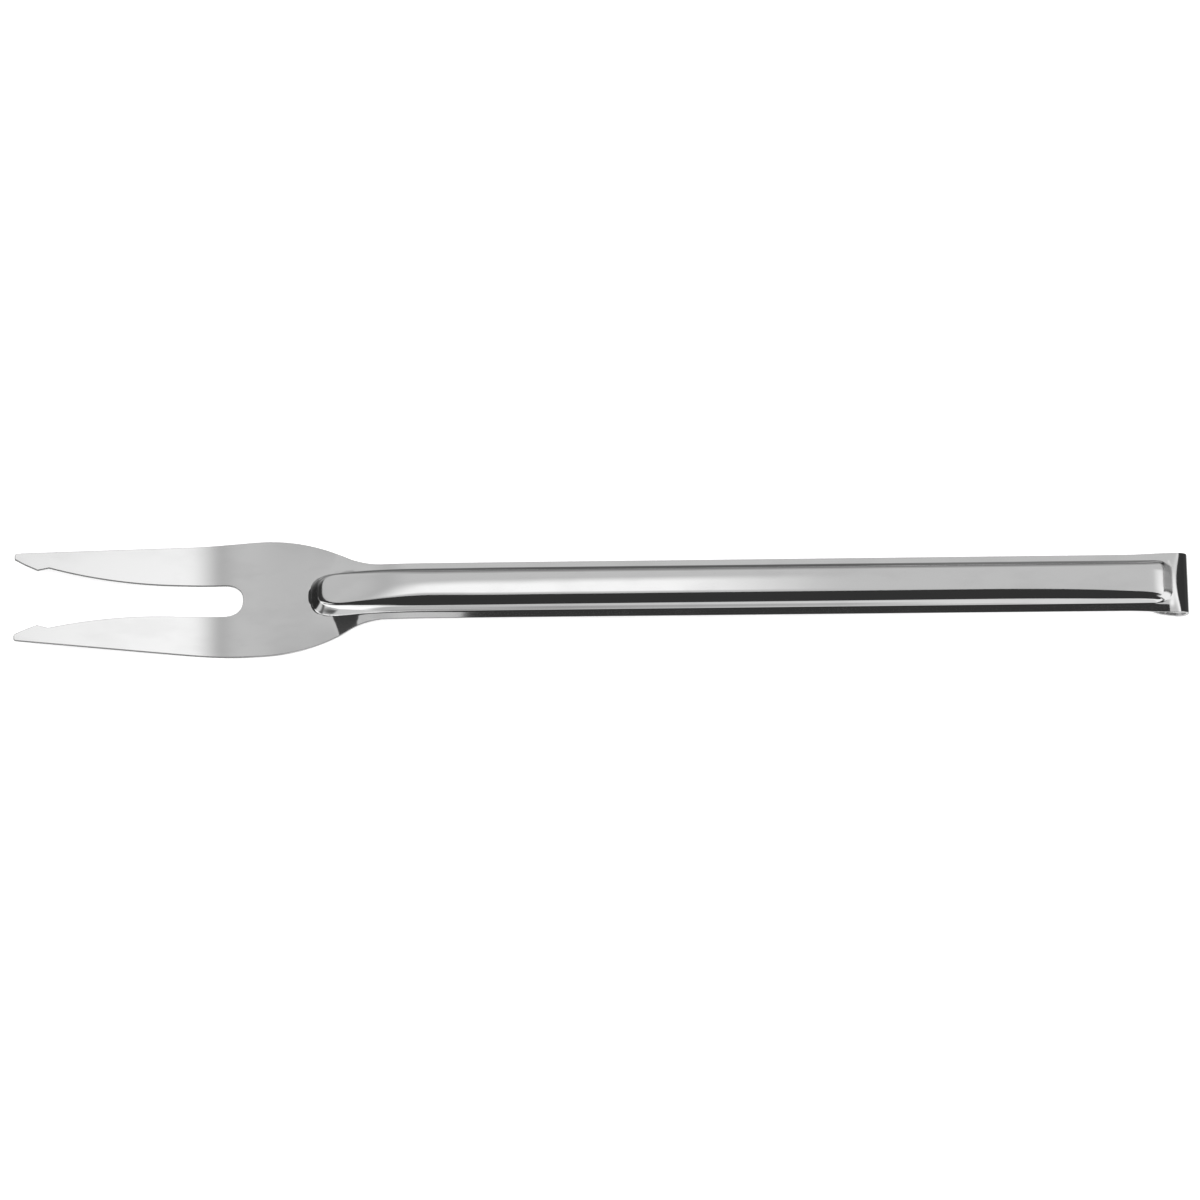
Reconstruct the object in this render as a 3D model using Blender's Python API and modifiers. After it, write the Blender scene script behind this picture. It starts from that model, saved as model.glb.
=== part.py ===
"""Carving fork with two barbed tines, pressed from one sheet of polished steel.

The blank is laid out flat first: s runs along the sheet from the tine tips and y runs across it.
The press then dips the head, raises a hollow rib along the handle, lets the flanges beside the
rib droop and folds the tail under into a hanging hook. It is one piece, with no joint or fastener.

Metres, +Z up, tines towards -X. The fork lies on its hook and on the dip of its head, and the
origin is under the middle of its box.
"""

import math

import bmesh
import bpy

MM = 0.001
DEGREE = math.pi / 180

# Sheet
SHEET = 1.0 * MM

# Side profile of the sheet's upper face, from the tips to the hook
TINE_LENGTH = 64.9 * MM
DIP_TO_SLOT_END = 8.5 * MM
DIP_RADIUS = 62.0 * MM
TINE_PITCH = 6.2 * DEGREE
HEAD_PITCH = 8.6 * DEGREE
NECK_BEND = 120.0 * MM
HANDLE_LENGTH = 211.2 * MM
HOOK_GAP = 6.0 * MM
HOOK_LEG = 10.0 * MM

# Outer outline of the head
HEAD_WIDTH = 34.1 * MM
SLOT_END_TO_WIDEST = 5.0 * MM
HEAD_EDGE_RADIUS = 205.0 * MM
TINE_TAPER = 3.7 * DEGREE
HEAD_SHOULDER = 51.0 * MM
NECK_FILLET = 22.0 * MM

# Slot between the tines, and their barbs
SLOT_WIDTH = 9.3 * MM
SLOT_NOSE = 5.5 * MM
SLOT_SQUARENESS = 2.3
SLOT_PARALLEL = 14.0 * MM
NOTCH_TINE_WIDTH = 4.62 * MM
BARB_AT = 6.5 * MM
BARB_RUN = 3.2 * MM
BARB_DEPTH = 0.78 * MM
TIP_WIDTH = 2.0 * MM

# Rib pressed into the handle
SLOT_END_TO_RIB = 18.8 * MM
RIB_TO_HOOK = 0.9 * MM
RIB_WIDTH = 12.9 * MM
RIB_HEIGHT = 3.6 * MM
RIB_END_FALL = 0.3 * MM
RIB_FLANK_ANGLE = 72.0 * DEGREE
RIB_ROOT_RADIUS = 0.8 * MM
RIB_SHOULDER_INSIDE = 0.5 * MM
RIB_CREST_RADIUS = 11.0 * MM
RIB_END_CREST_RADIUS = 400.0 * MM
RIB_NOSE = 9.5 * MM
RIB_NOSE_SQUARENESS = 3.0
RIB_TAIL = 5.0 * MM
RIB_TAIL_SQUARENESS = 3.6
NOSE_CREST_EASE = 45.0 * MM
TAIL_CREST_EASE = 20.0 * MM

# Flanges beside the rib, and the tail that becomes the hook
FLANGE_WIDTH = 1.8 * MM
FLANGE_DROOP = 18.0 * DEGREE
NECK_DROOP_EASE = 40.0 * MM
TAIL_DROOP_EASE = 5.0 * MM
HANDLE_SPREAD = 0.2 * MM
TAIL_FLARE = 0.42 * MM
FLARE_LENGTH = 14.0 * MM
TONGUE_WIDTH = 12.6 * MM
TONGUE_CORNER = 3.5 * MM

# Finish
STEEL_COLOUR = (0.62, 0.62, 0.61, 1.0)
STEEL_ROUGHNESS = 0.14

# Mesh: spacing of the rows along the sheet, and counts of columns on each part of half the section
ROW_FINE = 0.85 * MM
ROW_CLOSE = 2.4 * MM
ROW_WIDE = 6.5 * MM
ROW_LONG = 60.0 * MM
HOOK_STEP = 15.0 * DEGREE
FAN_ROWS = 6
FAN_REACH = 5.5 * MM
CORNER_ROWS = 4
CREST_COLUMNS = 3
SHOULDER_COLUMNS = 3
ROOT_COLUMNS = 2
FLANGE_COLUMNS = 2

# Sizes that follow from the ones above
HOOK_RADIUS = HOOK_GAP / 2 + SHEET
HEAD_DROP = 2 * HOOK_RADIUS - SHEET
DIP_TURN = TINE_PITCH + HEAD_PITCH
DIP_ARC = DIP_RADIUS * DIP_TURN
NECK_ARC = NECK_BEND * HEAD_PITCH
HOOK_ARC = HOOK_RADIUS * math.pi
TINE_STRAIGHT = TINE_LENGTH - DIP_TO_SLOT_END - DIP_ARC / 2
BENDS_RISE = (DIP_RADIUS + NECK_BEND) * (1 - math.cos(HEAD_PITCH))
HEAD_STRAIGHT = (HEAD_DROP - BENDS_RISE) / math.sin(HEAD_PITCH)
HANDLE_AT = TINE_STRAIGHT + DIP_ARC + HEAD_STRAIGHT + NECK_ARC
HOOK_AT = HANDLE_AT + HANDLE_LENGTH
LEG_AT = HOOK_AT + HOOK_ARC
TAIL_END = LEG_AT + HOOK_LEG
RIB_START = TINE_LENGTH + SLOT_END_TO_RIB
RIB_END = HOOK_AT - RIB_TO_HOOK
RIB_HALF = RIB_WIDTH / 2
RIB_SHOULDER_RADIUS = RIB_SHOULDER_INSIDE + SHEET
HANDLE_HALF = RIB_HALF + FLANGE_WIDTH
TAIL_HALF = HANDLE_HALF + HANDLE_SPREAD + TAIL_FLARE
HEAD_WIDEST_AT = TINE_LENGTH + SLOT_END_TO_WIDEST
NECK_TURN = math.acos(1 - (HEAD_WIDTH / 2 - HANDLE_HALF) / (HEAD_SHOULDER + NECK_FILLET))
NECK_END = HEAD_WIDEST_AT + (HEAD_SHOULDER + NECK_FILLET) * math.sin(NECK_TURN)
SLOT_HALF = SLOT_WIDTH / 2
SLOT_NOSE_AT = TINE_LENGTH - SLOT_NOSE
SLOT_OPENS_AT = SLOT_NOSE_AT - SLOT_PARALLEL
NOTCH_AT = BARB_AT + BARB_RUN

# Each stretch of the side profile: its length along the sheet and the angle it turns up through
SIDE_PROFILE = (
    (TINE_STRAIGHT, 0.0),
    (DIP_ARC, DIP_TURN),
    (HEAD_STRAIGHT, 0.0),
    (NECK_ARC, -HEAD_PITCH),
    (HANDLE_LENGTH, 0.0),
    (HOOK_ARC, -math.pi),
    (HOOK_LEG, 0.0),
)


def mix(start, end, share):
    return start + (end - start) * share


def spread(start, end, count):
    """Even positions after start, up to and including end."""
    return [mix(start, end, step / count) for step in range(1, count + 1)]


def rows_between(start, end, spacing):
    """Even positions after start, up to and including end, about a spacing apart."""
    return spread(start, end, max(round((end - start) / spacing), 1))


def ease(share):
    """Smooth step from 0 to 1."""
    share = min(max(share, 0.0), 1.0)
    return share * share * (3 - 2 * share)


def arc_drop(radius, run):
    """How far an arc falls away from its tangent after a run along it."""
    return radius - math.sqrt(max(radius * radius - run * run, 0.0))


def arc_radius(drop, run):
    """Radius of the arc that falls that far away from its tangent after that run along it."""
    return (drop * drop + run * run) / (2 * drop)


def side_point(s):
    """Place and heading of the sheet's upper face, in the side view, at length s along it."""
    x, z, heading = 0.0, 0.0, -TINE_PITCH
    for length, turn in SIDE_PROFILE:
        step = min(s, length)
        turned = turn * step / length
        if turn:
            radius = length / turn
            x += radius * (math.sin(heading + turned) - math.sin(heading))
            z += radius * (math.cos(heading) - math.cos(heading + turned))
        else:
            x += step * math.cos(heading)
            z += step * math.sin(heading)
        heading += turned
        s -= step
        if s <= 0:
            break
    return x, z, heading


def head_half_width(s):
    """Outer edge of the tines, the head and the neck, down to the handle's width."""
    widest = HEAD_WIDTH / 2
    ahead = HEAD_WIDEST_AT - s
    edge_run = HEAD_EDGE_RADIUS * math.sin(TINE_TAPER)
    if ahead > edge_run:
        tine_drop = (ahead - edge_run) * math.tan(TINE_TAPER)
        return widest - arc_drop(HEAD_EDGE_RADIUS, edge_run) - tine_drop
    if ahead > 0:
        return widest - arc_drop(HEAD_EDGE_RADIUS, ahead)
    if -ahead < HEAD_SHOULDER * math.sin(NECK_TURN):
        return widest - arc_drop(HEAD_SHOULDER, -ahead)
    return HANDLE_HALF + arc_drop(NECK_FILLET, max(NECK_END - s, 0.0))


def half_width(s):
    """Outer edge of the whole blank."""
    along = min(max((s - HANDLE_AT) / HANDLE_LENGTH, 0.0), 1.0)
    wider = HANDLE_SPREAD * along + TAIL_FLARE * ease((s - HOOK_AT + FLARE_LENGTH) / FLARE_LENGTH)
    taper = (TAIL_HALF - TONGUE_WIDTH / 2) * max(s - HOOK_AT, 0.0) / (TAIL_END - HOOK_AT)
    corner = arc_drop(TONGUE_CORNER, max(s - TAIL_END + TONGUE_CORNER, 0.0))
    return head_half_width(s) + wider - taper - corner


def slot_half_width(s):
    """Inner edge of a tine, from its tip to where the slot's round end starts."""
    notch = half_width(NOTCH_AT) - NOTCH_TINE_WIDTH
    if s >= NOTCH_AT:
        radius = arc_radius(notch - SLOT_HALF, SLOT_OPENS_AT - NOTCH_AT)
        return SLOT_HALF + arc_drop(radius, max(SLOT_OPENS_AT - s, 0.0))
    barb = notch - BARB_DEPTH
    if s >= BARB_AT:
        return mix(barb, notch, (s - BARB_AT) / (NOTCH_AT - BARB_AT))
    return mix(half_width(0.0) - TIP_WIDTH, barb, s / BARB_AT)


def slot_nose(share):
    """Point (s, y) on the slot's round end, from its side at 0 to its middle at 1."""
    angle = math.pi / 2 * (1 - share)
    power = 2 / SLOT_SQUARENESS
    along = SLOT_NOSE * max(math.cos(angle), 0.0) ** power
    return SLOT_NOSE_AT + along, SLOT_HALF * max(math.sin(angle), 0.0) ** power


class RibSection:
    """Half of the rib's cross-section: a root arc, a straight flank, a shoulder arc and a crest arc."""

    def __init__(self, height, crest_radius):
        sine, cosine = math.sin(RIB_FLANK_ANGLE), math.cos(RIB_FLANK_ANGLE)
        arcs_rise = RIB_ROOT_RADIUS * (1 - cosine) - RIB_SHOULDER_RADIUS * cosine
        crest_offset = crest_radius - RIB_SHOULDER_RADIUS
        flank_rise = height - arcs_rise - crest_radius
        reach = RIB_HALF - (RIB_ROOT_RADIUS + RIB_SHOULDER_RADIUS) * sine - flank_rise * cosine / sine
        self.height = height
        self.crest_radius = crest_radius
        self.crest_turn = RIB_FLANK_ANGLE - math.acos(min(reach * sine / crest_offset, 1.0))
        self.crest_run = crest_radius * math.sin(self.crest_turn)
        self.flank = (flank_rise + crest_offset * math.cos(self.crest_turn)) / sine
        self.root_run = RIB_ROOT_RADIUS * sine
        self.flank_run = self.flank * cosine

    def rise(self, across):
        """Height of the rib above its foot, at a distance across from its middle."""
        inset = RIB_HALF - across
        if inset <= 0:
            return 0.0
        if inset < self.root_run:
            return arc_drop(RIB_ROOT_RADIUS, inset)
        if inset < self.root_run + self.flank_run:
            slope = math.tan(RIB_FLANK_ANGLE) * (inset - self.root_run)
            return arc_drop(RIB_ROOT_RADIUS, self.root_run) + slope
        if across < self.crest_run:
            return self.height - arc_drop(self.crest_radius, across)
        turned_run = RIB_SHOULDER_RADIUS * math.sin(self.crest_turn)
        crest_drop = arc_drop(self.crest_radius, self.crest_run) - arc_drop(RIB_SHOULDER_RADIUS, turned_run)
        shoulder_drop = arc_drop(RIB_SHOULDER_RADIUS, across - self.crest_run + turned_run)
        return self.height - crest_drop - shoulder_drop

    def columns(self):
        """Distances across from the middle, close together on the round parts."""
        found = [0.0] + spread(0.0, self.crest_run, CREST_COLUMNS)
        for angle in spread(self.crest_turn, RIB_FLANK_ANGLE, SHOULDER_COLUMNS):
            turned = math.sin(angle) - math.sin(self.crest_turn)
            found.append(self.crest_run + RIB_SHOULDER_RADIUS * turned)
        root_top = RIB_HALF - self.root_run
        return found + [root_top] + spread(root_top, RIB_HALF, ROOT_COLUMNS)


ROUND_RIB = RibSection(RIB_HEIGHT, RIB_CREST_RADIUS)
FLAT_RIB = RibSection(RIB_HEIGHT - RIB_END_FALL, RIB_END_CREST_RADIUS)


def rib_height(s, y):
    """Rise of the rib, whose ends are rounded in plan and whose crest is flatter towards them."""
    nose = max(RIB_START + RIB_NOSE - s, 0.0) / RIB_NOSE
    tail = max(s - RIB_END + RIB_TAIL, 0.0) / RIB_TAIL
    power = RIB_NOSE_SQUARENESS if nose else RIB_TAIL_SQUARENESS
    across = (max(nose, tail) ** power + (abs(y) / RIB_HALF) ** power) ** (1 / power) * RIB_HALF
    crest = ease((s - RIB_START) / NOSE_CREST_EASE) * ease((RIB_END - s) / TAIL_CREST_EASE)
    return mix(FLAT_RIB.rise(across), ROUND_RIB.rise(across), crest)


def flange_height(s, y):
    """Rise of the drooping flanges from their outer edges, fading out up the rib's flank."""
    along = ease((s - NECK_END) / NECK_DROOP_EASE) * ease((RIB_END - s) / TAIL_DROOP_EASE)
    edge = half_width(s)
    fade = RIB_HALF - ROUND_RIB.crest_run
    run = min(edge - abs(y), edge - RIB_HALF)
    inside = min(max(RIB_HALF - abs(y), 0.0), fade)
    rise = math.tan(FLANGE_DROOP) * (run + inside - inside * inside / (2 * fade))
    return max(rise, 0.0) * along


def formed_point(s, y):
    """Where the press puts a point of the flat blank."""
    rise = flange_height(s, y) + rib_height(s, y)
    x, z, heading = side_point(s)
    return x - rise * math.sin(heading), y, z + rise * math.cos(heading)


def blank_rows():
    """Rows of the blank, each from its inner end (s, y) to the length s of its outer end."""
    tine = [0.0] + rows_between(0.0, BARB_AT, ROW_CLOSE) + rows_between(BARB_AT, NOTCH_AT, ROW_CLOSE)
    tine += rows_between(NOTCH_AT, SLOT_OPENS_AT, ROW_WIDE)
    tine += rows_between(SLOT_OPENS_AT, SLOT_NOSE_AT, ROW_WIDE)
    rows = [((s, slot_half_width(s)), s) for s in tine]
    fan_end = TINE_LENGTH + FAN_REACH
    for share in spread(0.0, 1.0, FAN_ROWS):
        rows.append((slot_nose(share), mix(SLOT_NOSE_AT, fan_end, share)))
    for inner in rows_between(TINE_LENGTH, RIB_START, ROW_WIDE):
        share = (inner - TINE_LENGTH) / (RIB_START - TINE_LENGTH)
        rows.append(((inner, 0.0), mix(fan_end, RIB_START, share)))

    nose_top = RIB_START + RIB_NOSE
    tail_top = RIB_END - RIB_TAIL
    droop_end = NECK_END + NECK_DROOP_EASE
    crest_end = RIB_END - TAIL_CREST_EASE
    handle = rows_between(RIB_START, nose_top, ROW_FINE) + rows_between(nose_top, NECK_END, ROW_CLOSE)
    handle += rows_between(NECK_END, droop_end, ROW_WIDE) + rows_between(droop_end, crest_end, ROW_LONG)
    handle += rows_between(crest_end, tail_top, ROW_WIDE) + rows_between(tail_top, RIB_END, ROW_FINE)
    handle.append(HOOK_AT)
    handle += rows_between(HOOK_AT, LEG_AT, HOOK_RADIUS * HOOK_STEP)
    handle.append(TAIL_END - TONGUE_CORNER)
    for angle in spread(0.0, math.pi / 2, CORNER_ROWS):
        handle.append(TAIL_END - TONGUE_CORNER * (1 - math.sin(angle)))
    return rows + [((s, 0.0), s) for s in handle]


def column_shares(s, edge):
    """Shares of a row's width at which the columns cross it: even at the tines, on the rib elsewhere."""
    across = ROUND_RIB.columns() + spread(RIB_HALF, HANDLE_HALF, FLANGE_COLUMNS)
    count = len(across) - 1
    blend = ease((s - SLOT_NOSE_AT) / (RIB_START - SLOT_NOSE_AT))
    shares = []
    for step, place in enumerate(across):
        if edge < HANDLE_HALF:
            place *= edge / HANDLE_HALF
        elif place > RIB_HALF:
            place = mix(RIB_HALF, edge, (place - RIB_HALF) / FLANGE_WIDTH)
        shares.append(mix(step / count, place / edge, blend))
    return shares


def blank_points():
    """Flat (s, y) points of half the blank, row by row."""
    points = []
    for (inner_s, inner_y), outer_s in blank_rows():
        edge = half_width(outer_s)
        shares = column_shares(outer_s, edge)
        points.append([(mix(inner_s, outer_s, t), mix(inner_y, edge, t)) for t in shares])
    return points


def pressed_half():
    """Half of the sheet's upper face, as a grid moved to where the press puts each point."""
    flat = blank_points()
    rows, columns = len(flat) - 1, len(flat[0]) - 1
    grid = bmesh.new()
    bmesh.ops.create_grid(grid, x_segments=rows, y_segments=columns, size=1.0)
    for vert in grid.verts:
        row = round((vert.co.x + 1) / 2 * rows)
        column = round((vert.co.y + 1) / 2 * columns)
        vert.co = formed_point(*flat[row][column])
    mesh = bpy.data.meshes.new("carving_fork")
    grid.to_mesh(mesh)
    grid.free()
    return mesh


def polished_steel():
    material = bpy.data.materials.new("polished_steel")
    material.use_nodes = True
    shader = material.node_tree.nodes["Principled BSDF"]
    shader.inputs["Base Color"].default_value = STEEL_COLOUR
    shader.inputs["Metallic"].default_value = 1.0
    shader.inputs["Roughness"].default_value = STEEL_ROUGHNESS
    return material


def carving_fork():
    """The whole fork: the pressed half, mirrored and given the sheet's thickness."""
    mesh = pressed_half()
    mesh.shade_smooth()
    mesh.materials.append(polished_steel())
    fork = bpy.data.objects.new("carving_fork", mesh)

    mirror = fork.modifiers.new("both_sides", "MIRROR")
    mirror.use_axis = (False, True, False)
    mirror.use_clip = True
    mirror.merge_threshold = 0.01 * MM

    sheet = fork.modifiers.new("sheet", "SOLIDIFY")
    sheet.thickness = SHEET
    sheet.offset = -1.0
    sheet.use_even_offset = True

    hook_x, hook_z, _ = side_point(HOOK_AT)
    tip_x = -SHEET * math.sin(TINE_PITCH)
    fork.location = (-(tip_x + hook_x + HOOK_RADIUS) / 2, 0.0, 2 * HOOK_RADIUS - hook_z)
    return fork


def main():
    for obj in list(bpy.data.objects):
        bpy.data.objects.remove(obj)
    collection = bpy.data.collections.new("carving_fork")
    bpy.context.scene.collection.children.link(collection)
    collection.objects.link(carving_fork())


main()
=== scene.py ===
"""Carving fork with two barbed tines, pressed from one sheet of polished steel.

The fork is made the way a press makes it: half of the flat blank is laid out as a grid and mirrored,
each of its points goes where the press puts it, and the face is then given the sheet's thickness and
rounded along its cut edges. It stands for the plain solid of the same name, lies where that lies, and
is lit from a pale diffuser over a white floor.

On the flat blank, s is the length along the sheet from the tine tips and y the distance across it
from the middle. Metres, +Z up, tines towards -X.
"""

from __future__ import annotations

import logging
import math
from dataclasses import dataclass, field
from enum import Enum
from functools import cached_property

import bpy
import numpy as np
from mathutils import Matrix, Vector, noise

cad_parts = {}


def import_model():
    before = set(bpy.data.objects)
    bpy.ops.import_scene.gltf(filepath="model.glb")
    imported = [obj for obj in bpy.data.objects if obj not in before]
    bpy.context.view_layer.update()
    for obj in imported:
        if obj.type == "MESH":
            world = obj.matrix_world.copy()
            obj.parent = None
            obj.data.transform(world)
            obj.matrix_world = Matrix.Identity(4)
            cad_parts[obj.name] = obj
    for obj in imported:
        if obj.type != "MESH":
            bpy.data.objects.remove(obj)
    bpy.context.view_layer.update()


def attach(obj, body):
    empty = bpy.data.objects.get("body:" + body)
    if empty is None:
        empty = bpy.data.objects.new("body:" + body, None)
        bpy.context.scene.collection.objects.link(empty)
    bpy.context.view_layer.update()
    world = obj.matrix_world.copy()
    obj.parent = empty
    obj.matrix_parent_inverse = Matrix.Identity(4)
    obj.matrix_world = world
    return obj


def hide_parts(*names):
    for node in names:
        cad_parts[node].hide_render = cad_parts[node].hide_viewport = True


LOG = logging.getLogger("carving_fork")

MM = 0.001
DEGREE = math.pi / 180
SHEET = 1.0 * MM

# Brightness of what the steel mirrors
UNLIT = 0.06
WHITE = 1.0
DAYLIGHT = 1.65

# Places of the sockets of a Mix node that carry colours
MIX_FIRST = 6
MIX_SECOND = 7
MIX_RESULT = 2

# Where a soft edge of a pattern starts and where it ends
Edge = tuple[float, float]


def mix(start: float, end: float, share: float) -> float:
    """Value a share of the way from start to end."""
    return start + (end - start) * share


def ease(share: float) -> float:
    """Smooth step from 0 to 1."""
    share = min(max(share, 0.0), 1.0)
    return share * share * (3 - 2 * share)


def half_ramp(run: float, soft: float) -> float:
    """Straight rise from zero on, whose corner is rounded over a soft run on each side."""
    rounded = min(max(run + soft, 0.0), 2 * soft)
    return rounded * rounded / (4 * soft) + max(run - soft, 0.0)


def soft_ramp(share: float, soft: float) -> float:
    """Straight ramp from 0 to 1 whose two corners are rounded over a soft share on each side."""
    return half_ramp(share, soft) - half_ramp(share - 1, soft)


def spread(start: float, end: float, count: int) -> list[float]:
    """Even positions after start, up to and including end."""
    return [mix(start, end, step / count) for step in range(1, count + 1)]


def rows_between(start: float, end: float, spacing: float) -> list[float]:
    """Even positions after start, up to and including end, about a spacing apart."""
    return spread(start, end, max(round((end - start) / spacing), 1))


def arc_drop(radius: float, run: float) -> float:
    """How far an arc falls away from its tangent after a run along it."""
    return radius - math.sqrt(max(radius * radius - run * run, 0.0))


def arc_radius(drop: float, run: float) -> float:
    """Radius of the arc that falls that far away from its tangent after that run along it."""
    return (drop * drop + run * run) / (2 * drop)


def arc_step(radius: float, start: float, end: float) -> tuple[float, float]:
    """Run and drop along an arc whose slope goes from start to end."""
    return radius * (math.sin(end) - math.sin(start)), radius * (math.cos(start) - math.cos(end))


class Bend(Enum):
    """How a stretch of the side profile turns along its length."""

    ARC = "arc"
    EASED = "eased"


@dataclass(frozen=True)
class Stretch:
    """One stretch of the side profile.

    Attributes:
        length: Length along the sheet.
        turn: Angle that the sheet turns up through.
        bend: Whether it turns evenly or eases in and out.
    """

    length: float
    turn: float = 0.0
    bend: Bend = Bend.ARC

    def turned(self, run: np.ndarray) -> np.ndarray:
        """Angle that the sheet has turned through.

        Args:
            run: Lengths along the sheet from the start of the stretch.

        Returns:
            The angles there.
        """
        share = np.clip(run / self.length, 0.0, 1.0)
        if self.bend is Bend.EASED:
            share = share * share * (3 - 2 * share)
        return self.turn * share


@dataclass(frozen=True)
class SideProfile:
    """Side view of the sheet's upper face, walked from the tine tips to the end of the hook.

    Attributes:
        easing: How much longer an eased bend is than the plain arc of its radius.
        step: Spacing of the points at which the profile is worked out.
    """

    tine_length: float = 64.4 * MM
    dip_to_slot_end: float = 8.0 * MM
    dip_radius: float = 62.0 * MM
    tine_pitch: float = 6.2 * DEGREE
    head_pitch: float = 8.6 * DEGREE
    neck_bend: float = 120.0 * MM
    handle_length: float = 211.2 * MM
    hook_gap: float = 6.0 * MM
    hook_leg: float = 10.0 * MM
    easing: float = 4.0 / 3.0
    step: float = 0.05 * MM

    @cached_property
    def hook_radius(self) -> float:
        """Outer radius of the hook's bend."""
        return self.hook_gap / 2 + SHEET

    @cached_property
    def stretches(self) -> tuple[Stretch, ...]:
        """Stretches of the profile, whose eased bends keep the tangents of their plain arcs.

        Returns:
            The tine, the dip, the head, the neck, the handle, the hook's bend and its leg.
        """
        dip_turn = self.tine_pitch + self.head_pitch
        dip_arc = self.dip_radius * dip_turn
        neck_arc = self.neck_bend * self.head_pitch
        bends_rise = (self.dip_radius + self.neck_bend) * (1 - math.cos(self.head_pitch))
        head_drop = 2 * self.hook_radius - SHEET
        ramp = (head_drop - bends_rise) / math.sin(self.head_pitch)
        dip_extra = (self.easing - 1) * dip_arc / 2
        neck_extra = (self.easing - 1) * neck_arc / 2
        tine = self.tine_length - self.dip_to_slot_end - dip_arc / 2
        return (
            Stretch(tine - dip_extra),
            Stretch(dip_arc + 2 * dip_extra, dip_turn, Bend.EASED),
            Stretch(ramp - dip_extra - neck_extra),
            Stretch(neck_arc + 2 * neck_extra, -self.head_pitch, Bend.EASED),
            Stretch(self.handle_length - neck_extra),
            Stretch(self.hook_radius * math.pi, -math.pi),
            Stretch(self.hook_leg),
        )

    @cached_property
    def hook_at(self) -> float:
        """Length along the sheet at which the hook's bend starts."""
        *ahead, _bend, _leg = self.stretches
        return sum(stretch.length for stretch in ahead)

    @cached_property
    def handle_at(self) -> float:
        """Length along the sheet at which the plain arc of the neck would end."""
        return self.hook_at - self.handle_length

    @cached_property
    def leg_at(self) -> float:
        """Length along the sheet at which the hook's leg starts."""
        return self.hook_at + self.hook_radius * math.pi

    @cached_property
    def end(self) -> float:
        """Length of the whole sheet."""
        return self.leg_at + self.hook_leg

    @cached_property
    def trace(self) -> tuple[np.ndarray, np.ndarray, np.ndarray, np.ndarray]:
        """Points of the profile in the part's own frame.

        Returns:
            Their lengths along the sheet, their places x and z, and the headings there.
        """
        along = np.linspace(0.0, self.end, int(self.end / self.step) + 1)
        heading = np.full_like(along, -self.tine_pitch)
        start = 0.0
        for stretch in self.stretches:
            heading += stretch.turned(along - start)
            start += stretch.length
        gaps = np.diff(along)
        middle = (heading[1:] + heading[:-1]) / 2
        x = np.concatenate([[0.0], np.cumsum(np.cos(middle) * gaps)])
        z = np.concatenate([[0.0], np.cumsum(np.sin(middle) * gaps)])
        hook_x = np.interp(self.hook_at, along, x)
        hook_z = np.interp(self.hook_at, along, z)
        tip_x = -SHEET * math.sin(self.tine_pitch)
        x -= (tip_x + hook_x + self.hook_radius) / 2
        z += 2 * self.hook_radius - hook_z
        return along, x, z, heading

    def point(self, s: float) -> tuple[float, float, float]:
        """Place and heading of the sheet's upper face.

        Args:
            s: Length along the sheet.

        Returns:
            The place x, the place z and the heading there.
        """
        along, *traced = self.trace
        return tuple(float(np.interp(s, along, values)) for values in traced)


@dataclass(frozen=True)
class ColumnCounts:
    """Columns of the mesh on each part of half the handle's section."""

    crest: int = 7
    haunch: int = 8
    shoulder: int = 4
    flank: int = 3
    root: int = 4
    flange: int = 6


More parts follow.
